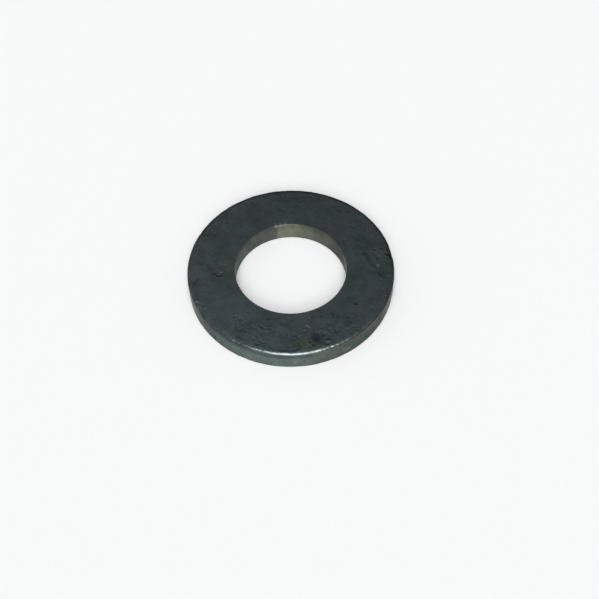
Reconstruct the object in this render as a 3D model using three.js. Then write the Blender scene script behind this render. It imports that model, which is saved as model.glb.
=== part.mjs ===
// Plain flat washer for an M12 bolt: one ring of steel plate, blanked and pierced in a single stroke.
// Millimetres, +Z up. The origin is the centre of the underside, so the washer lies on the plane z = 0
// and the bolt runs along Z.
//
// The press draws the upper face down a little where it shears through, which leaves a wide, shallow die
// roll on the outer edge and a much smaller one round the hole. The lower edges carried the burr, and
// tumbling has broken them.
import * as THREE from "three";

// Driving dimensions.
const OUTER_DIAMETER = 24;
const HOLE_DIAMETER = 13;
const THICKNESS = 2.5;

// The rounded edges. Each has a width across the face and a depth along the wall.
const OUTER_DIE_ROLL = { width: 0.45, depth: 0.17 };
const HOLE_DIE_ROLL = { width: 0.08, depth: 0.04 };
const BURR_SIDE_BREAK = { width: 0.16, depth: 0.06 };

// Fineness of the faceted surface.
const SEGMENTS_AROUND = 120;
const SEGMENTS_PER_EDGE = 4;

const QUARTER_TURN = Math.PI / 2;

// Adds one rounded edge to the cross-section: a quarter of an ellipse, anticlockwise from its start angle.
function roundedEdge(section, edge, centreRadius, centreHeight, startAngle) {
  const arc = new THREE.EllipseCurve(
    centreRadius,
    centreHeight,
    edge.width,
    edge.depth,
    startAngle,
    startAngle + QUARTER_TURN,
  );
  section.push(...arc.getPoints(SEGMENTS_PER_EDGE));
}

// The ring's cross-section to the right of the Z axis, as (radius, height) points in anticlockwise order.
// It closes on itself: the last point is the first one again.
function crossSection() {
  const outerRadius = OUTER_DIAMETER / 2;
  const holeRadius = HOLE_DIAMETER / 2;
  const lower = BURR_SIDE_BREAK;
  const outer = OUTER_DIE_ROLL;
  const hole = HOLE_DIE_ROLL;
  const section = [];
  roundedEdge(section, lower, outerRadius - lower.width, lower.depth, -QUARTER_TURN);
  roundedEdge(section, outer, outerRadius - outer.width, THICKNESS - outer.depth, 0);
  roundedEdge(section, hole, holeRadius + hole.width, THICKNESS - hole.depth, QUARTER_TURN);
  roundedEdge(section, lower, holeRadius + lower.width, lower.depth, 2 * QUARTER_TURN);
  section.push(section[0].clone());
  return section;
}

// Dark grey steel with a dull sheen.
const steel = new THREE.MeshStandardMaterial({
  color: new THREE.Color(0.2, 0.22, 0.22),
  roughness: 0.4,
  metalness: 1,
});

// LatheGeometry turns its section round +Y, so the geometry is stood up to turn round +Z.
function flatWasher() {
  const geometry = new THREE.LatheGeometry(crossSection(), SEGMENTS_AROUND).rotateX(QUARTER_TURN);
  const mesh = new THREE.Mesh(geometry, steel);
  mesh.name = "flat_washer";
  return mesh;
}

const part = new THREE.Group();
part.add(flatWasher());

export default part;
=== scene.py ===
"""A plain flat washer of dark steel, lying on its underside on a pale studio floor.

The washer is blanked and pierced from steel plate in one stroke of a press, tumbled with many others and
given a thin dark coating. The press leaves a die roll on the upper edges, sheared walls with upright streaks,
and lower edges whose burr the tumbling has broken. Handling adds dents, pits and scuffs.

Everything is in metres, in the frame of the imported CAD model: the origin is the centre of the underside and
+Z runs along the bolt's axis.
"""

import logging
import math
import random
from collections.abc import Callable, Iterator, Mapping
from dataclasses import dataclass, field
from enum import Enum
from typing import Any

import bmesh
import bpy
import numpy as np
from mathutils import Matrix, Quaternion, Vector, noise


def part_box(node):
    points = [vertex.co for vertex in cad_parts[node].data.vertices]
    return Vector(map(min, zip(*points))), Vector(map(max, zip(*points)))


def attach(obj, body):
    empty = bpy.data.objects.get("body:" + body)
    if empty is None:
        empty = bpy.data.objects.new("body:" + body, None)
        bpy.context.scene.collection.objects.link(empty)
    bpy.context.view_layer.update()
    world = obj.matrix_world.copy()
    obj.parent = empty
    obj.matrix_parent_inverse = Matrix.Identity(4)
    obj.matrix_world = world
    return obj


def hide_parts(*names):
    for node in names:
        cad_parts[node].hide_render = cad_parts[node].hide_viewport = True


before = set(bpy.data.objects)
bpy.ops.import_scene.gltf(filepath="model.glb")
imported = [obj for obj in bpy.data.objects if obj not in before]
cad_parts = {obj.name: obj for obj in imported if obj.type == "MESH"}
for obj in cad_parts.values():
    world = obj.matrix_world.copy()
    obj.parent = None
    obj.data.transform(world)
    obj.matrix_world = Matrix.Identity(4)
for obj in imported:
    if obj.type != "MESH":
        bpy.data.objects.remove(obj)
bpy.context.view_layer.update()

LOG = logging.getLogger("flat_washer")

MM = 0.001
ROOT_BODY = "root"
WASHER_NODE = "flat_washer"
BARE = "bare"
SOOT_AND_SHADE = "soot_and_shade"

Socket = bpy.types.NodeSocket
Colour = tuple[float, float, float]
Shares = tuple[float, float, float]
Spot = tuple[float, float]


# ---- Modelling by hand ----


def deselect_all() -> None:
    """Leaves nothing selected, so that the next operator acts only on what it is given."""
    bpy.ops.object.select_all(action="DESELECT")


def start_editing(piece: bpy.types.Object, mode: str) -> bmesh.types.BMesh:
    """Opens a piece in edit mode with nothing selected.

    Args:
        piece: The piece to shape.
        mode: What is picked: "VERT", "EDGE" or "FACE".

    Returns:
        The mesh being edited.
    """
    deselect_all()
    piece.select_set(True)
    bpy.context.view_layer.objects.active = piece
    bpy.ops.object.mode_set(mode="EDIT")
    bpy.ops.mesh.select_mode(type=mode)
    bpy.ops.mesh.select_all(action="DESELECT")
    return bmesh.from_edit_mesh(piece.data)


def stop_editing() -> None:
    """Closes edit mode and keeps what was shaped."""
    bpy.ops.object.mode_set(mode="OBJECT")


def pick_edges(mesh: bmesh.types.BMesh, wanted: Callable[[Vector, Vector], bool]) -> None:
    """Selects edges by the places of their two ends.

    Args:
        mesh: The mesh being edited.
        wanted: Says whether an edge with these two ends is picked.
    """
    for edge in mesh.edges:
        first, second = edge.verts
        edge.select_set(wanted(first.co, second.co))


def pick_faces(mesh: bmesh.types.BMesh, wanted: Callable[[bmesh.types.BMFace], bool]) -> None:
    """Selects faces by a test on each one.

    Args:
        mesh: The mesh being edited.
        wanted: Says whether this face is picked.
    """
    for face in mesh.faces:
        face.select_set(wanted(face))


def polar(radius: float, angle: float) -> Spot:
    """Gives the x and y of a place from its radius and its angle in radians."""
    return radius * math.cos(angle), radius * math.sin(angle)


def radius_of(place: Vector) -> float:
    """Gives how far a place is from the bolt's axis."""
    return math.hypot(place.x, place.y)


def near(value: float, target: float, slack: float = 0.01 * MM) -> bool:
    """Says whether a length is a given one, to a hundredth of a millimetre."""
    return abs(value - target) < slack


def fade(values: np.ndarray, start: float, span: float) -> np.ndarray:
    """Fades from 0 to 1 over a span.

    Args:
        values: What is read, one for each vertex.
        start: The value up to which the result is 0.
        span: How much further on the result reaches 1.

    Returns:
        One number for each vertex, from 0 to 1.
    """
    return np.clip((values - start) / span, 0.0, 1.0)


def direction(azimuth_deg: float, elevation_deg: float) -> Vector:
    """Gives the direction from the washer towards something that stands round it.

    Args:
        azimuth_deg: How far round it stands, from the front (-Y) towards the right (+X).
        elevation_deg: How far above the floor it stands.

    Returns:
        The direction, of length 1.
    """
    azimuth, elevation = math.radians(azimuth_deg), math.radians(elevation_deg)
    flat = math.cos(elevation)
    return Vector((math.sin(azimuth) * flat, -math.cos(azimuth) * flat, math.sin(elevation)))


def displace(piece: bpy.types.Object, name: str, depth: float, group: str,
             texture: bpy.types.Texture | None = None, along: str = "NORMAL") -> None:
    """Moves a piece's surface with a Displace modifier, and applies it.

    Args:
        piece: The piece whose surface moves.
        name: What the modifier is called.
        depth: How far full strength moves the surface, in metres, outwards if positive.
        group: The vertex group that says where it acts.
        texture: A pattern that moves the surface both ways about its middle, or None to move it one way.
        along: What it moves along: "NORMAL", or an axis.
    """
    modifier = piece.modifiers.new(name, "DISPLACE")
    modifier.strength = depth
    modifier.vertex_group = group
    modifier.direction = along
    modifier.texture_coords = "LOCAL"
    modifier.texture = texture
    modifier.mid_level = 0.5 if texture else 0.0
    bpy.context.view_layer.objects.active = piece
    bpy.ops.object.modifier_apply(modifier=modifier.name)


@dataclass(frozen=True)
class Relief:
    """A cloudy relief that is worked into the steel, in millimetres."""

    name: str
    depth: float
    lump: float
    levels: int

    def texture(self) -> bpy.types.Texture:
        """Makes its pattern for a Displace modifier.

        Returns:
            The pattern.
        """
        texture = bpy.data.textures.new(self.name, "CLOUDS")
        texture.noise_scale = self.lump * MM
        texture.noise_depth = self.levels
        return texture


# ---- Materials ----


@dataclass(frozen=True)
class Turn:
    """A smooth turn from a start to an end, as what is read goes from low to high. Low may be above high."""

    low: float
    high: float
    start: float = 0.0
    end: float = 1.0


@dataclass(frozen=True)
class Cloud:
    """A cloudy pattern that reads near 0.5, and the turn that sets its strength."""

    lumps_per_mm: float
    detail: float
    roughness: float = 0.5
    turn: Turn = Turn(0.3, 0.7)


@dataclass
class NodeSheet:
    """Adds and joins the nodes of one material."""

    tree: bpy.types.NodeTree

    def add(self, kind: str, inputs: Mapping[str | int, Any] | None = None,
            **settings: Any) -> bpy.types.Node:
        """Adds a node.

        Args:
            kind: The node's type.
            inputs: For each socket, by name or number, another node's output or a fixed value.
            settings: The node's own settings.

        Returns:
            The new node.
        """
        node = self.tree.nodes.new(kind)
        for name, value in settings.items():
            setattr(node, name, value)
        for key, value in (inputs or {}).items():
            self.feed(node.inputs[key], value)
        return node

    def feed(self, socket: Socket, value: Any) -> None:
        """Gives a socket what it reads.

        Args:
            socket: The socket.
            value: Another node's output, or a fixed value.
        """
        if isinstance(value, Socket):
            self.tree.links.new(value, socket)
        else:
            socket.default_value = value

    def math(self, operation: str, *values: Socket | float) -> Socket:
        """Works out one number from others.

        Args:
            operation: What to do, such as "ADD".
            values: The numbers or sockets that it is done with.

        Returns:
            The result.
        """
        return self.add("ShaderNodeMath", dict(enumerate(values)), operation=operation).outputs[0]

    def ramp(self, value: Socket, turn: Turn) -> Socket:
        """Turns one number smoothly into another.

        Args:
            value: The number that is read.
            turn: How it turns.

        Returns:
            The result.
        """
        low, high, start, end = turn.low, turn.high, turn.start, turn.end
        if low > high:
            low, high, start, end = high, low, end, start
        inputs = {"Value": value, "From Min": low, "From Max": high, "To Min": start, "To Max": end}
        return self.add("ShaderNodeMapRange", inputs, interpolation_type="SMOOTHSTEP").outputs["Result"]

    def cloud(self, place: Socket, cloud: Cloud) -> Socket:
        """Reads a cloudy pattern as it is.

        Args:
            place: Where it is read, in millimetres.
            cloud: The pattern.

        Returns:
            A number near 0.5, between 0 and 1.
        """
        inputs = {"Vector": place, "Scale": cloud.lumps_per_mm, "Detail": cloud.detail,
                  "Roughness": cloud.roughness}
        return self.add("ShaderNodeTexNoise", inputs).outputs["Fac"]

    def patches(self, place: Socket, cloud: Cloud) -> Socket:
        """Reads a cloudy pattern through its turn.

        Args:
            place: Where it is read, in millimetres.
            cloud: The pattern.

        Returns:
            A number between the turn's start and its end.
        """
        return self.ramp(self.cloud(place, cloud), cloud.turn)

    def mix(self, share: Socket | float, first: Socket | Colour, second: Socket | Colour,
            blend: str = "MIX") -> Socket:
        """Mixes two colours.

        Args:
            share: How much of the second there is, from 0 to 1.
            first: The first colour.
            second: The second colour.
            blend: How they mix, such as "MIX" or "MULTIPLY".

        Returns:
            The mixed colour.
        """
        node = self.add("ShaderNodeMix", data_type="RGBA", blend_type=blend)
        self.feed(node.inputs[0], share)
        for socket, value in ((node.inputs[6], first), (node.inputs[7], second)):
            self.feed(socket, value if isinstance(value, Socket) else (*value, 1.0))
        return node.outputs[2]

    def grey(self, value: Socket) -> Socket:
        """Turns a number into a grey of that strength."""
        return self.add("ShaderNodeCombineColor", {0: value, 1: value, 2: value}).outputs[0]

    def shade(self, colour: Socket | Colour, strength: Socket) -> Socket:
        """Makes a colour darker or lighter by a number."""
        return self.mix(1.0, colour, self.grey(strength), "MULTIPLY")

    def in_millimetres(self, place: Socket) -> Socket:
        """Turns a place in metres into one in millimetres."""
        return self.squeezed(place, (1 / MM,) * 3)

    def squeezed(self, place: Socket, along: Shares) -> Socket:
        """Stretches a pattern by squeezing the places it is read at.

        Args:
            place: Where the pattern is read.
            along: The share of each axis that is kept.

        Returns:
            The squeezed place.
        """
        return self.add("ShaderNodeVectorMath", {0: place, 1: along}, operation="MULTIPLY").outputs[0]


def new_material(name: str) -> tuple[bpy.types.Material, NodeSheet, bpy.types.Node]:
    """Starts a material.

    Args:
        name: What the material is called.

    Returns:
        The material, its sheet of nodes, and its shader, which is already joined to the output.
    """
    material = bpy.data.materials.new(name)
    material.use_nodes = True
    sheet = NodeSheet(material.node_tree)
    sheet.tree.nodes.clear()
    shader = sheet.add("ShaderNodeBsdfPrincipled")
    sheet.add("ShaderNodeOutputMaterial", {"Surface": shader.outputs[0]})
    return material, sheet, shader


@dataclass(frozen=True)
class DarkSteelFinish:
    """Tumbled steel under a thin dark coating, rubbed brighter where it sticks out.

    Turns on level read 0 on a wall and 1 on a face. Turns on angle read radians from +X, and turns on height
    and on the way to the right read millimetres.
    """

    outer_radius: float
    hole_radius: float

    # Colours of the faces, the walls and the marks.
    slate: Colour = (0.104, 0.138, 0.151)
    olive: Colour = (0.110, 0.141, 0.132)
    mauve: Colour = (0.112, 0.134, 0.148)
    sheared: Colour = (0.140, 0.177, 0.161)
    shaded_brown: Colour = (0.115, 0.133, 0.120)
    straw: Colour = (0.190, 0.205, 0.155)
    violet: Colour = (0.100, 0.109, 0.102)
    ochre: Colour = (0.090, 0.104, 0.085)
    worn: Colour = (0.39, 0.40, 0.37)
    # The dark of dirt, also used for the painted shade under the rolled rim and in the rim's dings.
    soot_and_shade_tint: Colour = (0.026, 0.030, 0.060)

    # How glossy the steel is, and how bright it is seen at a slant.
    gloss: Cloud = Cloud(2.5, 3.0, turn=Turn(0.3, 0.7, 0.22, 0.30))
    slant_on_level: Turn = Turn(0.05, 0.40, 0.44, 0.32)

    # Patterns of the coating.
    face_on_level: Turn = Turn(0.70, 0.95)
    grain: Cloud = Cloud(0.50, 5.0, 0.60, Turn(0.30, 0.70, 0.85, 1.15))
    blotches: Cloud = Cloud(0.35, 1.5, turn=Turn(0.35, 0.65))
    tints: Cloud = Cloud(0.65, 1.5, turn=Turn(0.40, 0.68))
    tooth: Cloud = Cloud(5.0, 3.0, 0.6)
    tooth_depth: float = 0.0040 * MM

    # Patterns of the sheared walls, with painted shade on the right of the outer wall and at the hole's upper
    # rim, and painted light lower down the hole's wall.
    streaks: Cloud = Cloud(1.6, 3.0, 0.6, Turn(0.3, 0.7, 0.94, 1.06))
    streak_stretch: Shares = (1.0, 1.0, 0.25)
    # Browner and darker to the right of the outer wall: partly the coating's own tone, partly painted shade
    # on that side.
    browner_shade_rightwards: Turn = Turn(0.6, 3.4)
    straw_edge: Turn = Turn(math.radians(105.5), math.radians(101.5))
    straw_fade: Turn = Turn(math.radians(61.0), math.radians(94.0), 0.24, 1.0)
    ochre_fade: Turn = Turn(math.radians(38.0), math.radians(58.0))
    sheared_leftwards: Turn = Turn(2.1, 2.8, 0.0, 0.6)
    # Painted light: the hole's wall is painted lighter lower down, from 0.8 at 2.4 mm high to full at 1.2 mm.
    painted_light_on_height: Turn = Turn(2.4, 1.2, 0.80, 1.0)
    # Painted shade: the hole's wall is painted darker over its top tenth of a millimetre, down to 0.4 at the
    # rim.
    painted_rim_shade_on_height: Turn = Turn(2.50, 2.40, 0.40, 1.0)

    def material(self) -> bpy.types.Material:
        """Makes the finish.

        Returns:
            The material.
        """
        material, sheet, shader = new_material("dark_steel")
        coordinates = sheet.add("ShaderNodeTexCoord").outputs
        place = sheet.in_millimetres(coordinates["Object"])
        upright = sheet.add("ShaderNodeSeparateXYZ", {0: coordinates["Normal"]}).outputs["Z"]
        level = sheet.math("ABSOLUTE", upright)
        face = sheet.ramp(level, self.face_on_level)
        bare = sheet.add("ShaderNodeAttribute", attribute_name=BARE).outputs["Fac"]
        soot_and_shade = sheet.add("ShaderNodeAttribute", attribute_name=SOOT_AND_SHADE).outputs["Fac"]

        colour = sheet.mix(face, self.sheared_walls(sheet, place), self.coated_faces(sheet, place))
        colour = sheet.shade(colour, sheet.patches(place, self.grain))
        # Darkens the colour where marks are painted dark: dirt on most, painted shade under the rolled rim
        # and on the dark dings along it.
        colour = sheet.mix(soot_and_shade, colour, self.soot_and_shade_tint)
        sheet.feed(shader.inputs["Base Color"], sheet.mix(bare, colour, self.worn))

        sheet.feed(shader.inputs["Roughness"], sheet.patches(place, self.gloss))
        shader.inputs["Metallic"].default_value = 1.0
        slant = sheet.ramp(level, self.slant_on_level)
        sheet.feed(shader.inputs["Specular Tint"], sheet.grey(slant))

        tooth = {"Height": sheet.cloud(place, self.tooth), "Strength": 1.0, "Distance": self.tooth_depth}
        sheet.feed(shader.inputs["Normal"], sheet.add("ShaderNodeBump", tooth).outputs[0])
        return material

    def coated_faces(self, sheet: NodeSheet, place: Socket) -> Socket:
        """Gives the colour of the flat faces: slate, blotched with olive and mauve.

        Args:
            sheet: The material's nodes.
            place: The place on the washer, in millimetres.

        Returns:
            The colour.
        """
        coated = sheet.mix(sheet.patches(place, self.blotches), self.slate, self.olive)
        return sheet.mix(sheet.patches(place, self.tints), coated, self.mauve)

    def sheared_walls(self, sheet: NodeSheet, place: Socket) -> Socket:
        """Gives the colour of both walls, with the upright streaks of shearing.

        Args:
            sheet: The material's nodes.
            place: The place on the washer, in millimetres.

        Returns:
            The colour.
        """
        axes = sheet.add("ShaderNodeSeparateXYZ", {0: place}).outputs
        # Browner and darker to the right: partly the coating's tone, partly painted shade.
        outside = sheet.mix(sheet.ramp(axes["X"], self.browner_shade_rightwards), self.sheared, self.shaded_brown)
        flat = sheet.squeezed(place, (1.0, 1.0, 0.0))
        radius = sheet.add("ShaderNodeVectorMath", {0: flat}, operation="LENGTH").outputs["Value"]
        middle = (self.outer_radius + self.hole_radius) / (2 * MM)
        is_outside = sheet.math("GREATER_THAN", radius, middle)
        walls = sheet.mix(is_outside, self.hole_wall(sheet, axes), outside)
        return sheet.shade(walls, sheet.patches(sheet.squeezed(place, self.streak_stretch), self.streaks))

    def hole_wall(self, sheet: NodeSheet, axes: bpy.types.bpy_prop_collection) -> Socket:
        """Gives the colour of the hole's wall: straw at the back, ochre to its right and violet to its left.

        Args:
            sheet: The material's nodes.
            axes: The place's X, Y and Z, in millimetres.

        Returns:
            The colour.
        """
        angle = sheet.math("ARCTAN2", axes["Y"], axes["X"])
        right_of_edge = sheet.ramp(angle, self.straw_edge)
        ochre = sheet.math("MULTIPLY", right_of_edge, sheet.ramp(angle, self.ochre_fade))
        straw = sheet.math("MULTIPLY", right_of_edge, sheet.ramp(angle, self.straw_fade))
        leftwards = sheet.ramp(sheet.math("ABSOLUTE", angle), self.sheared_leftwards)
        colour = sheet.mix(straw, sheet.mix(ochre, self.violet, self.ochre), self.straw)
        colour = sheet.mix(leftwards, colour, self.sheared)
        # Painted light: lighter lower down the wall.
        painted_light_low = sheet.ramp(axes["Z"], self.painted_light_on_height)
        # Painted shade at the wall's upper rim.
        painted_rim_shade = sheet.ramp(axes["Z"], self.painted_rim_shade_on_height)
        return sheet.shade(colour, sheet.math("MULTIPLY", painted_light_low, painted_rim_shade))


@dataclass(frozen=True)
class PaleFloorFinish:
    """Matt white board with a faint tooth."""

    white: Colour = (0.86, 0.86, 0.86)
    roughness: float = 0.9
    sheen: float = 0.2
    tooth: Cloud = Cloud(3.0, 3.0, turn=Turn(0.3, 0.7, 0.985, 1.0))

    def material(self) -> bpy.types.Material:
        """Makes the finish.

        Returns:
            The material.
        """
        material, sheet, shader = new_material("pale_floor")
        place = sheet.in_millimetres(sheet.add("ShaderNodeTexCoord").outputs["Object"])
        colour = sheet.shade(self.white, sheet.patches(place, self.tooth))
        sheet.feed(shader.inputs["Base Color"], colour)
        shader.inputs["Roughness"].default_value = self.roughness
        shader.inputs["Specular IOR Level"].default_value = self.sheen
        return material


# ---- Marks of handling ----


@dataclass(frozen=True)
class WiderRoll:
    """A stretch of the outer rim that the press drew down further, in millimetres."""

    angle_deg: float
    half_arc_deg: float
    depth: float


WIDER_ROLLS = (
    WiderRoll(angle_deg=-66.0, half_arc_deg=28.0, depth=0.050),
    WiderRoll(angle_deg=-124.0, half_arc_deg=27.0, depth=0.052),
)


class Side(Enum):
    """A side of the washer, laid out flat to place marks on it, in millimetres.

    A face has its own x and y. A wall has the arc from +X, measured round the wall, and the height.
    """

    UPPER_FACE = "upper face"
    LOWER_FACE = "lower face"
    OUTER_WALL = "outer wall"
    HOLE_WALL = "hole wall"


@dataclass(frozen=True)
class Mark:
    """One stroke that something hard left in the surface, in millimetres.

    The stroke runs along its heading from its middle both ways, and is bent by its sagitta. Bare is how far
    the coating is rubbed off, and the last number is how much darker the stroke is painted, both from 0 to 1:
    dirt on most marks, painted shade on the band under the rolled rim and on the dark dings along it.
    """

    across: float
    up: float
    width: float = 0.4
    length: float = 0.0
    heading_deg: float = 0.0
    sagitta: float = 0.0
    depth: float = 0.02
    bare: float = 0.0
    soot_and_shade: float = 0.0

    def reach(self, across: np.ndarray, up: np.ndarray) -> np.ndarray:
        """Gives how far places lie from the stroke's line, in half widths.

        Args:
            across: The places' first coordinates on the flattened side.
            up: Their second coordinates.

        Returns:
            One distance for each place, 1 at the stroke's edge.
        """
        turn = math.radians(self.heading_deg)
        along = (across - self.across) * math.cos(turn) + (up - self.up) * math.sin(turn)
        beside = (up - self.up) * math.cos(turn) - (across - self.across) * math.sin(turn)
        half = self.length / 2
        if half > 0:
            beside = beside - self.sagitta * (1 - np.clip(along / half, -1, 1) ** 2)
        past_end = np.maximum(np.abs(along) - half, 0)
        return np.hypot(past_end, beside) / (self.width / 2)


@dataclass(frozen=True)
class MarkSection:
    """The cross-section that every mark has, read in half widths from the stroke's line."""

    steepness: float = 1.5
    lip_at: float = 1.25
    lip_half_width: float = 0.45
    lip_share: float = 0.22
    stain_edge: float = 1.35

    def hollow(self, reach: np.ndarray) -> np.ndarray:
        """Gives how deep the dent is, as a share of its depth."""
        return np.clip(1.0 - reach ** 2, 0.0, 1.0) ** self.steepness

    def lip(self, reach: np.ndarray) -> np.ndarray:
        """Gives how high the lip stands round the dent, as a share of its height."""
        return np.clip(1.0 - ((reach - self.lip_at) / self.lip_half_width) ** 2, 0.0, 1.0)

    def stain(self, reach: np.ndarray) -> np.ndarray:
        """Gives how much of the mark's bare steel or dirt is there, from 0 to 1."""
        return np.clip(self.stain_edge - reach, 0.0, 1.0)


UPPER_FACE_MARKS = (
    # A crescent dent on the left, the bright spot in its bend, and the scuff that runs into it.
    Mark(-8.85, -0.62, width=0.3, length=0.15, heading_deg=-30.0, depth=0.02, soot_and_shade=0.6),
    Mark(-8.25, -0.88, width=0.28, length=0.55, heading_deg=5.0, sagitta=-0.08, depth=0.03, soot_and_shade=0.75),
    Mark(-8.15, -0.52, width=0.26, length=0.12, depth=0.012, bare=0.43),
    Mark(-9.45, 0.3, width=0.5, length=0.8, heading_deg=-58.0, depth=0.003, soot_and_shade=0.22),
    Mark(-10.4, 1.0, width=1.0, depth=0.01, soot_and_shade=0.18),
    Mark(-10.8, -4.2, width=0.32, depth=0.02, soot_and_shade=0.4),
    Mark(-10.75, -4.6, width=0.24, length=0.2, depth=0.012, bare=0.36),
    # A scuff down the right of the land, its pits, and the bright ding at its foot.
    Mark(8.25, 2.7, width=0.4, length=0.6, heading_deg=-70.0, depth=0.004, soot_and_shade=0.2),
    Mark(8.95, 1.25, width=0.6, length=1.4, heading_deg=-66.0, sagitta=0.05, depth=0.007, soot_and_shade=0.44),
    Mark(9.55, 0.1, width=0.6, length=0.5, heading_deg=-35.0, depth=0.007, soot_and_shade=0.42),
    Mark(10.35, -1.2, width=0.34, length=0.8, heading_deg=-58.0, sagitta=-0.1, depth=0.008, soot_and_shade=0.34),
    Mark(10.85, -1.6, width=0.34, length=0.3, heading_deg=-10.0, depth=0.006, soot_and_shade=0.25),
    Mark(9.85, 2.35, width=0.26, length=0.2, heading_deg=-5.0, depth=0.03, soot_and_shade=0.6),
    Mark(10.15, 1.05, width=0.36, depth=0.03, soot_and_shade=0.6),
    Mark(10.2, 1.42, width=0.3, length=0.15, depth=0.012, bare=0.11),
    Mark(10.75, 2.5, width=0.45, length=0.2, depth=0.02, soot_and_shade=0.35),
    Mark(11.1, 1.1, width=0.32, depth=0.02, soot_and_shade=0.4),
    Mark(11.35, 1.6, width=0.4, length=0.5, heading_deg=-25.0, depth=0.03, soot_and_shade=0.5),
    Mark(10.1, -0.05, width=0.34, length=0.12, heading_deg=-70.0, depth=0.02, bare=0.65),
    Mark(9.8, 0.3, width=0.4, depth=0.01, soot_and_shade=0.2),
    Mark(11.25, -1.6, width=0.24, length=0.45, heading_deg=12.0, depth=0.012, bare=0.25),
    # Pits and dings on the front of the land.
    Mark(1.72, -8.32, width=0.22, length=0.5, heading_deg=-42.0, depth=0.018, bare=0.36),
    Mark(1.58, -8.56, width=0.3, depth=0.03, soot_and_shade=0.5),
    Mark(1.42, -8.8, width=0.22, length=0.18, depth=0.01, bare=0.29),
    Mark(1.85, -8.00, width=0.24, depth=0.014, soot_and_shade=0.35),
    Mark(2.25, -7.05, width=0.32, depth=0.02, soot_and_shade=0.55),
    Mark(3.35, -6.95, width=0.36, depth=0.018, soot_and_shade=0.45),
    Mark(4.6, -6.62, width=0.24, length=0.4, depth=0.014, soot_and_shade=0.4),
    Mark(5.2, -7.00, width=0.36, length=0.2, heading_deg=90.0, depth=0.014, soot_and_shade=0.35),
    Mark(7.25, -5.35, width=0.4, length=0.1, depth=0.03, soot_and_shade=0.6),
    Mark(7.3, -5.05, width=0.24, length=0.3, depth=0.01, bare=0.11),
    Mark(0.85, -8.05, width=0.24, depth=0.012, soot_and_shade=0.3),
    Mark(4.1, -8.00, width=0.4, depth=0.012, soot_and_shade=0.22),
    Mark(2.85, -9.1, width=0.22, length=0.3, heading_deg=-12.0, depth=0.012, bare=0.25),
    Mark(3.82, -9.15, width=0.22, length=0.75, heading_deg=-3.0, depth=0.014, bare=0.25),
    Mark(2.12, -9.62, width=0.4, depth=0.022, soot_and_shade=0.4),
    Mark(2.7, -9.95, width=1.5, depth=0.016, soot_and_shade=0.68),
    Mark(2.75, -10.0, width=0.6, length=0.2, heading_deg=60.0, depth=0.02, soot_and_shade=0.8),
    Mark(1.95, -10.35, width=0.38, depth=0.03, soot_and_shade=0.75),
    Mark(2.3, -10.75, width=0.34, length=0.15, depth=0.028, soot_and_shade=0.7),
    Mark(3.45, -9.55, width=0.36, length=0.15, heading_deg=20.0, depth=0.028, soot_and_shade=0.75),
    Mark(3.35, -10.3, width=0.32, depth=0.026, soot_and_shade=0.65),
    Mark(2.45, -9.38, width=0.34, depth=0.026, soot_and_shade=0.65),
    Mark(3.98, -10.02, width=0.36, length=0.22, depth=0.03, soot_and_shade=0.8),
    Mark(3.95, -10.36, width=0.22, length=0.28, depth=0.012, bare=0.43),
    Mark(3.75, -10.68, width=0.3, length=0.35, heading_deg=5.0, depth=0.02, soot_and_shade=0.6),
    Mark(3.00, -10.9, width=0.3, depth=0.02, soot_and_shade=0.5),
    # Painted shade: these two dark strokes along the rim stand for the shade of dings just inside its
    # highlight.
    Mark(0.45, -11.3, width=0.34, length=0.9, heading_deg=20.0, depth=0.02, soot_and_shade=0.45),
    Mark(-0.9, -11.38, width=0.3, length=1.1, heading_deg=-4.0, depth=0.018, soot_and_shade=0.45),
    Mark(6.2, -8.1, width=1.5, depth=0.012, soot_and_shade=0.3),
    Mark(-2.55, -7.15, width=0.4, length=0.15, depth=0.016, soot_and_shade=0.35),
    Mark(-2.5, -8.08, width=0.22, length=0.4, heading_deg=-10.0, depth=0.014, soot_and_shade=0.4),
    Mark(-0.75, -7.85, width=0.8, length=0.7, heading_deg=-20.0, depth=0.014, soot_and_shade=0.22),
    Mark(-1.7, -9.28, width=0.24, depth=0.01, bare=0.16),
    Mark(-0.42, -9.5, width=0.24, length=0.1, depth=0.01, bare=0.16),
    # Dings along the front of the outer rim. The three dark ones are painted darker as painted shade of the
    # dings; the bright ones are rubbed bare.
    Mark(-8.1, -8.45, width=0.24, length=0.4, heading_deg=-25.0, depth=0.02, soot_and_shade=0.45),
    Mark(-5.9, -9.42, width=0.26, length=0.4, heading_deg=-15.0, depth=0.018, soot_and_shade=0.35),
    Mark(-3.85, -10.48, width=0.3, length=0.5, heading_deg=-18.0, depth=0.02, soot_and_shade=0.4),
    Mark(-7.3, -9.35, width=0.26, depth=0.014, bare=0.32),
    Mark(-7.00, -9.56, width=0.22, depth=0.012, bare=0.25),
    Mark(-6.45, -9.92, width=0.28, depth=0.014, bare=0.43),
)

OUTER_WALL_MARKS = (
    # A nick that flattens the rim on the right.
    Mark(2.0, 2.5, width=0.9, length=1.2, depth=0.06),
    # Painted shade: a dark band without a dent, laid under the rolled rim on the front and the left.
    Mark(-20.2, 2.02, width=0.75, length=6.5, depth=0.0, soot_and_shade=0.4),
    Mark(-27.0, 2.22, width=0.66, length=8.5, depth=0.0, soot_and_shade=0.5),
    # A smear of bare steel at the front.
    Mark(-18.6, 0.95, width=0.42, length=0.3, heading_deg=90.0, depth=0.012, bare=0.18),
)

HOLE_WALL_MARKS = (
    # The punch's chatter at the upper rim, at the back on the left.
    Mark(11.9, 2.36, width=0.34, length=0.1, depth=0.02, bare=0.72),
    Mark(11.35, 2.4, width=0.26, length=0.3, depth=0.015, bare=0.5),
    Mark(10.8, 2.42, width=0.22, length=0.3, depth=0.01, bare=0.36),
)


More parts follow.
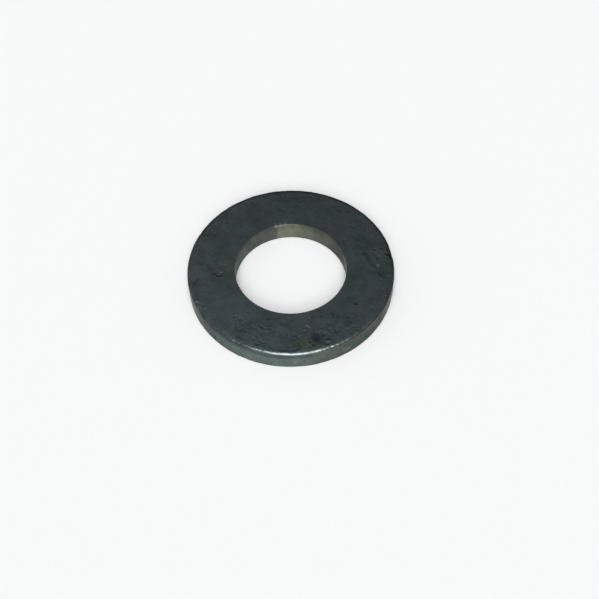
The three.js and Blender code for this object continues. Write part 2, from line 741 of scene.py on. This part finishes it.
@dataclass(frozen=True)
class Scatter:
    """Small marks that tumbling scatters over one zone, in millimetres.

    Most are small. The shiniest few are rubbed bare, and the dullest hold dirt.
    """

    count: int
    widest: float
    deepest: float
    narrowest: float = 0.20
    shallowest: float = 0.3
    lengths: tuple[float, ...] = (0.0, 0.0, 0.3, 0.8)
    shiny: float = 0.15
    barest: float = 0.18
    dull: float = 0.4
    sootiest: float = 0.35

    def marks(self, draw: random.Random, place: Callable[[random.Random], Spot]) -> Iterator[Mark]:
        """Gives the marks one by one.

        Args:
            draw: Where the chances come from.
            place: Draws one mark's place on the flattened side.

        Yields:
            The mark.
        """
        for _ in range(self.count):
            across, up = place(draw)
            size = draw.random() ** 2
            shine = draw.random()
            yield Mark(across, up, width=self.narrowest + (self.widest - self.narrowest) * size,
                       length=draw.choice(self.lengths) * size, heading_deg=draw.uniform(0.0, 180.0),
                       depth=self.deepest * (self.shallowest + (1.0 - self.shallowest) * size),
                       bare=self.barest * max(shine - (1.0 - self.shiny), 0.0) / self.shiny,
                       soot_and_shade=self.sootiest * max(self.dull - shine, 0.0) / self.dull)


@dataclass(frozen=True)
class Zones:
    """The zones that marks are scattered over, laid out flat as their sides are, in millimetres."""

    outer: float
    hole: float
    top: float
    rim_band: float = 1.3
    front_band: tuple[float, float] = (0.4, 3.2)
    front_arc_deg: tuple[float, float] = (-135.0, -45.0)
    wall_turn: float = 3.1
    wall_margin: float = 0.1

    def face(self, draw: random.Random) -> Spot:
        """Draws a place on a face."""
        radius = math.sqrt(draw.uniform(self.hole ** 2, self.outer ** 2))
        return polar(radius, draw.uniform(-math.pi, math.pi))

    def rim(self, draw: random.Random) -> Spot:
        """Draws a place on the outer upper rim."""
        radius = self.outer - draw.uniform(0.0, self.rim_band)
        return polar(radius, draw.uniform(-math.pi, math.pi))

    def front(self, draw: random.Random) -> Spot:
        """Draws a place on the front of the upper face."""
        radius = self.outer - draw.uniform(*self.front_band)
        return polar(radius, math.radians(draw.uniform(*self.front_arc_deg)))

    def outer_wall(self, draw: random.Random) -> Spot:
        """Draws a place on the outer wall."""
        return self.wall(self.outer, draw)

    def hole_wall(self, draw: random.Random) -> Spot:
        """Draws a place on the hole's wall."""
        return self.wall(self.hole, draw)

    def wall(self, radius: float, draw: random.Random) -> Spot:
        """Draws a place on the wall of this radius."""
        arc = radius * draw.uniform(-self.wall_turn, self.wall_turn)
        return arc, draw.uniform(self.wall_margin, self.top - self.wall_margin)


# ---- The washer ----


@dataclass(frozen=True)
class Tumbling:
    """How unevenly tumbling leaves the plate, its rims and its walls, in millimetres."""

    plate: Relief = Relief("uneven plate", depth=0.030, lump=1.6, levels=1)
    skin: Relief = Relief("tumbled skin", depth=0.008, lump=0.45, levels=2)
    rim_waves: Relief = Relief("wavy rims", depth=0.060, lump=1.3, levels=1)
    rim_rags: Relief = Relief("ragged rims", depth=0.022, lump=0.45, levels=1)
    margin: float = 0.3
    face_fade: float = 0.6
    wall_fade: float = 0.4
    rim_reach: float = 0.8
    hole_rim_share: float = 0.15
    streaks_around: float = 3.1
    streaks_up: float = 0.35
    streaks_level: float = 0.5


@dataclass(frozen=True)
class RimWear:
    """How far the coating is rubbed off the outer upper rim, in patches.

    The worn band starts and fades as shares of the die roll's width and depth.
    """

    amount: float = 0.16
    patches_per_mm: float = 1.1
    patchiness: float = 1.4
    width: float = 0.8
    width_fade: float = 0.5
    depth: float = 1.3
    depth_fade: float = 0.8


@dataclass
class FlatWasher:
    """The ring of steel: its blank, its rims, its sheared walls and the marks of handling."""

    outer_radius: float
    hole_radius: float
    thickness: float
    steps_around: int = 640
    upper_rings: int = 60
    lower_rings: int = 26
    wall_rings: int = 14
    rim_segments: int = 7
    outer_roll: float = 0.45 * MM
    hole_roll: float = 0.04 * MM
    lower_break: float = 0.16 * MM
    roll_flatness: float = 0.38
    wider_reach: float = 0.75 * MM
    deepest_mark: float = 0.1 * MM
    streak_depth: float = 0.004 * MM
    underside_lift: float = 0.016 * MM
    tumbling: Tumbling = Tumbling()
    section: MarkSection = MarkSection()
    wear: RimWear = RimWear()
    seed: int = 12
    piece: bpy.types.Object = field(init=False)

    @classmethod
    def from_frame(cls) -> "FlatWasher":
        """Reads the washer's sizes off its CAD node.

        Returns:
            The washer, not built yet.
        """
        low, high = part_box(WASHER_NODE)
        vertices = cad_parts[WASHER_NODE].data.vertices
        hole_radius = min(radius_of(vertex.co) for vertex in vertices)
        return cls(outer_radius=(high.x - low.x) / 2, hole_radius=hole_radius, thickness=high.z - low.z)

    def build(self) -> bpy.types.Object:
        """Models the washer and gives it its finish.

        Returns:
            The finished piece.
        """
        self.blank_and_pierce()
        self.round_rims()
        self.press_flat()
        self.refine_surface()
        self.widen_rolls()
        self.tumble()
        self.mark_surface()
        self.dress()
        return self.piece

    def blank_and_pierce(self) -> None:
        """Makes the plain disc, taller than the washer, and the hole through it."""
        tall = self.thickness / self.roll_flatness
        deselect_all()
        bpy.ops.mesh.primitive_cylinder_add(vertices=self.steps_around, radius=self.outer_radius,
                                            depth=tall, end_fill_type="NGON",
                                            location=(0.0, 0.0, tall / 2))
        self.piece = bpy.context.active_object
        self.piece.name = self.piece.data.name = "steel_washer"
        bpy.ops.object.transform_apply(location=True, rotation=True, scale=True)
        mesh = start_editing(self.piece, "FACE")
        level = 0.9
        pick_faces(mesh, lambda face: abs(face.normal.z) > level)
        land = (self.outer_radius - self.hole_radius) * math.cos(math.pi / self.steps_around)
        bpy.ops.mesh.inset(thickness=land, depth=0.0, use_even_offset=True)
        bpy.ops.mesh.bridge_edge_loops()
        stop_editing()

    def round_rims(self) -> None:
        """Bevels the four rims: die rolls above, broken edges below."""
        circular = 0.5
        tall = self.thickness / self.roll_flatness
        rims = ((self.outer_radius, tall, self.outer_roll),
                (self.hole_radius, tall, self.hole_roll),
                (self.outer_radius, 0.0, self.lower_break),
                (self.hole_radius, 0.0, self.lower_break))
        for radius, height, width in rims:
            mesh = start_editing(self.piece, "EDGE")
            pick_edges(mesh, lambda *ends: all(near(radius_of(end), radius) and near(end.z, height)
                                               for end in ends))
            bpy.ops.mesh.bevel(offset_type="OFFSET", offset=width, segments=self.rim_segments,
                               profile=circular, affect="EDGES", clamp_overlap=False)
            stop_editing()

    def press_flat(self) -> None:
        """Presses the tall blank down to the washer's thickness, which makes its rims wider than deep."""
        deselect_all()
        self.piece.select_set(True)
        self.piece.scale = (1.0, 1.0, self.roll_flatness)
        bpy.ops.object.transform_apply(location=False, rotation=False, scale=True)

    def refine_surface(self) -> None:
        """Cuts the faces and the walls into fine rings."""
        long = 1.0 * MM
        middle = self.thickness / 2
        strips = ((self.upper_rings, lambda a, b: abs(radius_of(a) - radius_of(b)) > long and a.z > middle),
                  (self.lower_rings, lambda a, b: abs(radius_of(a) - radius_of(b)) > long and a.z < middle),
                  (self.wall_rings, lambda a, b: abs(a.z - b.z) > long))
        for rings, spans in strips:
            mesh = start_editing(self.piece, "EDGE")
            pick_edges(mesh, spans)
            bpy.ops.mesh.subdivide(number_cuts=rings - 1)
            stop_editing()

    def places(self) -> np.ndarray:
        """Reads where the vertices are.

        Returns:
            Every vertex's place, in millimetres.
        """
        vertices = self.piece.data.vertices
        flat = np.empty(len(vertices) * 3)
        vertices.foreach_get("co", flat)
        return flat.reshape(-1, 3) / MM

    def weigh(self, name: str, weights: np.ndarray) -> str:
        """Paints a vertex group.

        Args:
            name: What the group is called.
            weights: One weight for each vertex, from 0 to 1.

        Returns:
            The group's name.
        """
        levels = 100
        group = self.piece.vertex_groups.new(name=name)
        steps = np.rint(np.clip(weights, 0.0, 1.0) * levels).astype(int)
        for step in range(1, levels + 1):
            members = np.flatnonzero(steps == step)
            if len(members):
                group.add(members.tolist(), step / levels, "REPLACE")
        return group.name

    def widen_rolls(self) -> None:
        """Draws the outer upper rim down further along a few stretches, fading out at both ends."""
        x, y, z = self.places().T
        reach = self.wider_reach / MM
        angle = np.degrees(np.arctan2(y, x))
        across = np.clip(1.0 - (self.outer_radius / MM - np.hypot(x, y)) / reach, 0.0, 1.0) ** 2
        down = np.clip(1.0 - (self.thickness / MM - z) / reach, 0.0, 1.0)
        drawn = np.zeros(len(x))
        for roll in WIDER_ROLLS:
            around = np.clip(1.0 - ((angle - roll.angle_deg) / roll.half_arc_deg) ** 2, 0.0, 1.0) ** 2
            drawn = np.maximum(drawn, around * across * down * roll.depth * MM / self.deepest_mark)
        displace(self.piece, "wider rolls", -self.deepest_mark, self.weigh("drawn", drawn), along="Z")

    def tumble(self) -> None:
        """Makes the plate slightly uneven, its rims ragged and its sheared walls streaked."""
        how = self.tumbling
        x, y, z = self.places().T
        radius = np.hypot(x, y)
        outer, hole, top = self.outer_radius / MM, self.hole_radius / MM, self.thickness / MM
        from_wall = np.minimum(outer - radius, radius - hole)
        from_face = np.minimum(top - z, z)
        face = fade(from_wall, how.margin, how.face_fade)
        under = np.where(z < top / 2, face, 0.0)
        wall = fade(from_face, how.margin, how.wall_fade)
        rim = np.clip(1.0 - np.hypot(from_wall, from_face) / how.rim_reach, 0.0, 1.0)
        rim *= np.where(radius > (outer + hole) / 2, 1.0, how.hole_rim_share)
        self.work_in(how.plate, face)
        displace(self.piece, "sit up", -self.underside_lift, self.weigh("under", under))
        self.work_in(how.skin, face + wall)
        self.work_in(how.rim_waves, rim)
        self.work_in(how.rim_rags, rim)
        streaks = np.zeros(len(x))
        for index in np.flatnonzero(wall > 0):
            place = (x[index] * how.streaks_around, y[index] * how.streaks_around, z[index] * how.streaks_up)
            streaks[index] = how.streaks_level + noise.noise(Vector(place))
        displace(self.piece, "shear streaks", -self.streak_depth, self.weigh("streaks", wall * streaks))

    def work_in(self, relief: Relief, weights: np.ndarray) -> None:
        """Works a cloudy relief into the surface.

        Args:
            relief: The relief.
            weights: How strongly it acts on each vertex, from 0 to 1.
        """
        group = self.weigh(relief.name, weights)
        displace(self.piece, relief.name, relief.depth * MM, group, relief.texture())

    def flattened(self, side: Side) -> tuple[np.ndarray, np.ndarray, np.ndarray]:
        """Lays a side out flat.

        Args:
            side: Which side.

        Returns:
            Every vertex's two coordinates on it, in millimetres, and whether the vertex is on that side.
        """
        x, y, z = self.places().T
        radius, angle = np.hypot(x, y), np.arctan2(y, x)
        skin = 0.4
        if side is Side.UPPER_FACE:
            return x, y, z > self.thickness / MM - skin
        if side is Side.LOWER_FACE:
            return x, y, z < skin
        if side is Side.OUTER_WALL:
            return angle * self.outer_radius / MM, z, radius > self.outer_radius / MM - skin
        return angle * self.hole_radius / MM, z, radius < self.hole_radius / MM + skin

    def marks(self) -> Iterator[tuple[Side, Mark]]:
        """Gives every mark and the side that it is on.

        Yields:
            The side and the mark.
        """
        draw = random.Random(self.seed)
        zones = Zones(self.outer_radius / MM, self.hole_radius / MM, self.thickness / MM)
        known = ((Side.UPPER_FACE, UPPER_FACE_MARKS),
                 (Side.OUTER_WALL, OUTER_WALL_MARKS),
                 (Side.HOLE_WALL, HOLE_WALL_MARKS),
                 (Side.UPPER_FACE, Scatter(260, widest=0.45, deepest=0.012).marks(draw, zones.face)),
                 (Side.UPPER_FACE, Scatter(170, widest=0.45, deepest=0.013).marks(draw, zones.rim)),
                 (Side.LOWER_FACE, Scatter(160, widest=0.9, deepest=0.035).marks(draw, zones.face)),
                 (Side.OUTER_WALL, Scatter(120, widest=0.5, deepest=0.02).marks(draw, zones.outer_wall)),
                 (Side.HOLE_WALL, Scatter(40, widest=0.4, deepest=0.015).marks(draw, zones.hole_wall)),
                 (Side.UPPER_FACE, Scatter(260, widest=0.38, deepest=0.026).marks(draw, zones.front)))
        for side, marks in known:
            for mark in marks:
                yield side, mark

    def mark_surface(self) -> None:
        """Presses every mark into the surface, raises its lip, and notes where the steel is bare and where it
        is painted darker, as dirt and as painted shade.
        """
        layout = {side: self.flattened(side) for side in Side}
        section = self.section
        count = len(self.piece.data.vertices)
        dents, lips, bare, soot_and_shade = (np.zeros(count) for _ in range(4))
        for side, mark in self.marks():
            across, up, present = layout[side]
            reach = np.where(present, mark.reach(across, up), np.inf)
            depth = mark.depth * MM / self.deepest_mark
            dents = np.maximum(dents, section.hollow(reach) * depth)
            lips = np.maximum(lips, section.lip(reach) * depth * section.lip_share)
            bare = np.maximum(bare, section.stain(reach) * mark.bare)
            soot_and_shade = np.maximum(soot_and_shade, section.stain(reach) * mark.soot_and_shade)
        displace(self.piece, "dents", -self.deepest_mark, self.weigh("dents", dents))
        displace(self.piece, "lips", self.deepest_mark, self.weigh("lips", lips))
        self.note(BARE, np.maximum(bare, self.rubbed_rim()))
        self.note(SOOT_AND_SHADE, soot_and_shade)

    def rubbed_rim(self) -> np.ndarray:
        """Gives how far tumbling has rubbed the coating off the outer upper rim, patch by patch.

        Returns:
            One amount for each vertex, from 0 to 1.
        """
        wear = self.wear
        x, y, z = self.places().T
        outer, top = self.outer_radius / MM, self.thickness / MM
        roll, depth = self.outer_roll / MM, self.outer_roll * self.roll_flatness / MM
        across = fade(np.hypot(x, y), outer - wear.width * roll, wear.width_fade * roll)
        down = fade(z, top - wear.depth * depth, wear.depth_fade * depth)
        rubbed = across * down
        for index in np.flatnonzero(rubbed > 0):
            patch = noise.noise(Vector((x[index], y[index], z[index])) * wear.patches_per_mm)
            rubbed[index] *= wear.amount * (1.0 + wear.patchiness * patch)
        return np.clip(rubbed, 0.0, 1.0)

    def note(self, name: str, amounts: np.ndarray) -> None:
        """Keeps one number for each vertex, which the finish reads.

        Args:
            name: What the finish calls it.
            amounts: The numbers.
        """
        attribute = self.piece.data.attributes.new(name, "FLOAT", "POINT")
        attribute.data.foreach_set("value", amounts.astype(np.float32))

    def dress(self) -> None:
        """Smooths the shading and gives the washer its finish and its place in the frame."""
        self.piece.vertex_groups.clear()
        deselect_all()
        self.piece.select_set(True)
        bpy.ops.object.shade_smooth()
        finish = DarkSteelFinish(self.outer_radius, self.hole_radius)
        self.piece.data.materials.append(finish.material())
        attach(self.piece, ROOT_BODY)
        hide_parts(WASHER_NODE)


# ---- The studio ----


@dataclass
class StudioFloor:
    """The pale board that the washer lies on."""

    half_side: float = 1.8

    def build(self) -> bpy.types.Object:
        """Lays the floor at the height of the washer's underside.

        Returns:
            The floor.
        """
        deselect_all()
        bpy.ops.mesh.primitive_plane_add(size=2 * self.half_side, location=(0.0, 0.0, 0.0))
        floor = bpy.context.active_object
        floor.name = "studio_floor"
        floor.data.materials.append(PaleFloorFinish().material())
        return floor


@dataclass(frozen=True)
class SoftLight:
    """A large soft light, far enough away to light the whole floor evenly."""

    name: str
    strength: float
    spread_deg: float
    azimuth_deg: float
    elevation_deg: float
    height: float = 0.3

    def hang(self) -> bpy.types.Object:
        """Hangs the light and turns it towards the washer.

        Returns:
            The light.
        """
        deselect_all()
        bpy.ops.object.light_add(type="SUN", location=(0.0, 0.0, self.height))
        light = bpy.context.active_object
        light.name = self.name
        light.data.energy = self.strength
        light.data.angle = math.radians(self.spread_deg)
        light.rotation_mode = "QUATERNION"
        light.rotation_quaternion = direction(self.azimuth_deg, self.elevation_deg).to_track_quat("Z", "Y")
        return light


@dataclass(frozen=True)
class Studio:
    """The lights and the dim room round the washer, which darkens towards the back and the right.

    Its turns read how far a direction points to the right or to the back, as a share of its length.
    """

    lights: tuple[SoftLight, ...] = (
        SoftLight("overhead_softbox", strength=1.48, spread_deg=31.0, azimuth_deg=-2.0, elevation_deg=78.0),
        SoftLight("front_softbox", strength=1.48, spread_deg=31.0, azimuth_deg=-2.0, elevation_deg=45.0),
    )
    room: float = 0.33
    cool: Colour = (0.95, 1.0, 1.01)
    warm: Colour = (1.04, 0.99, 0.97)
    backdrop: float = 0.97
    leftwards: Turn = Turn(0.25, -0.25, 0.88, 1.38)
    aside: Turn = Turn(0.15, 0.60, 1.0, 0.62)
    backwards: Turn = Turn(0.40, 0.95, 1.19, 0.19)
    warmer_backwards: Turn = Turn(0.45, 0.75)

    def build(self) -> None:
        """Hangs the lights and sets the room."""
        for light in self.lights:
            light.hang()
        world = bpy.data.worlds.new("studio_room")
        world.use_nodes = True
        bpy.context.scene.world = world
        sheet = NodeSheet(world.node_tree)
        sheet.tree.nodes.clear()
        towards = sheet.add("ShaderNodeTexCoord").outputs["Generated"]
        axes = sheet.add("ShaderNodeSeparateXYZ", {0: towards}).outputs
        sideways = sheet.math("MULTIPLY", sheet.ramp(axes["X"], self.leftwards),
                              sheet.ramp(sheet.math("ABSOLUTE", axes["X"]), self.aside))
        glow = sheet.math("MULTIPLY", sideways, sheet.ramp(axes["Y"], self.backwards))
        glow = sheet.math("MULTIPLY", glow, self.room)
        tint = sheet.mix(sheet.ramp(axes["Y"], self.warmer_backwards), self.cool, self.warm)
        room = sheet.add("ShaderNodeBackground", {"Color": tint, "Strength": glow})
        backdrop = sheet.add("ShaderNodeBackground", {"Strength": self.backdrop})
        backdrop.inputs["Color"].default_value = (1.0, 1.0, 1.0, 1.0)
        seen = sheet.add("ShaderNodeLightPath").outputs["Is Camera Ray"]
        shown = sheet.add("ShaderNodeMixShader", {0: seen, 1: room.outputs[0], 2: backdrop.outputs[0]})
        sheet.add("ShaderNodeOutputWorld", {"Surface": shown.outputs[0]})


@dataclass
class StudioCamera:
    """The camera, which looks down at the washer from the front."""

    lens_mm: float = 60.1
    sensor_mm: float = 36.0
    azimuth_deg: float = -0.77
    elevation_deg: float = 54.5
    distance: float = 113.3 * MM
    roll_deg: float = -0.78
    aim_right: float = 0.9 * MM
    aim_back: float = -4.6 * MM

    def build(self, height: float) -> bpy.types.Object:
        """Places the camera and makes it the scene's.

        Args:
            height: The height of the face that it is aimed at.

        Returns:
            The camera.
        """
        data = bpy.data.cameras.new("studio_camera")
        data.lens = self.lens_mm
        data.sensor_width = self.sensor_mm
        data.clip_start = 10 * MM
        camera = bpy.data.objects.new("studio_camera", data)
        bpy.context.scene.collection.objects.link(camera)
        back = direction(self.azimuth_deg, self.elevation_deg)
        camera.location = Vector((self.aim_right, self.aim_back, height)) + back * self.distance
        camera.rotation_mode = "QUATERNION"
        level = back.to_track_quat("Z", "Y")
        camera.rotation_quaternion = level @ Quaternion((0.0, 0.0, 1.0), math.radians(self.roll_deg))
        bpy.context.scene.camera = camera
        return camera


def main() -> None:
    """Builds the washer and the studio round it."""
    logging.basicConfig(level=logging.INFO, format="%(name)s: %(message)s")
    bpy.context.scene.view_settings.view_transform = "Standard"
    washer = FlatWasher.from_frame()
    StudioCamera().build(washer.thickness)
    LOG.info("studio_camera placed")
    piece = washer.build()
    LOG.info("%s: %d faces", piece.name, len(piece.data.polygons))
    floor = StudioFloor().build()
    LOG.info("%s laid", floor.name)
    Studio().build()
    LOG.info("studio lit")


if __name__ == "__main__":
    main()
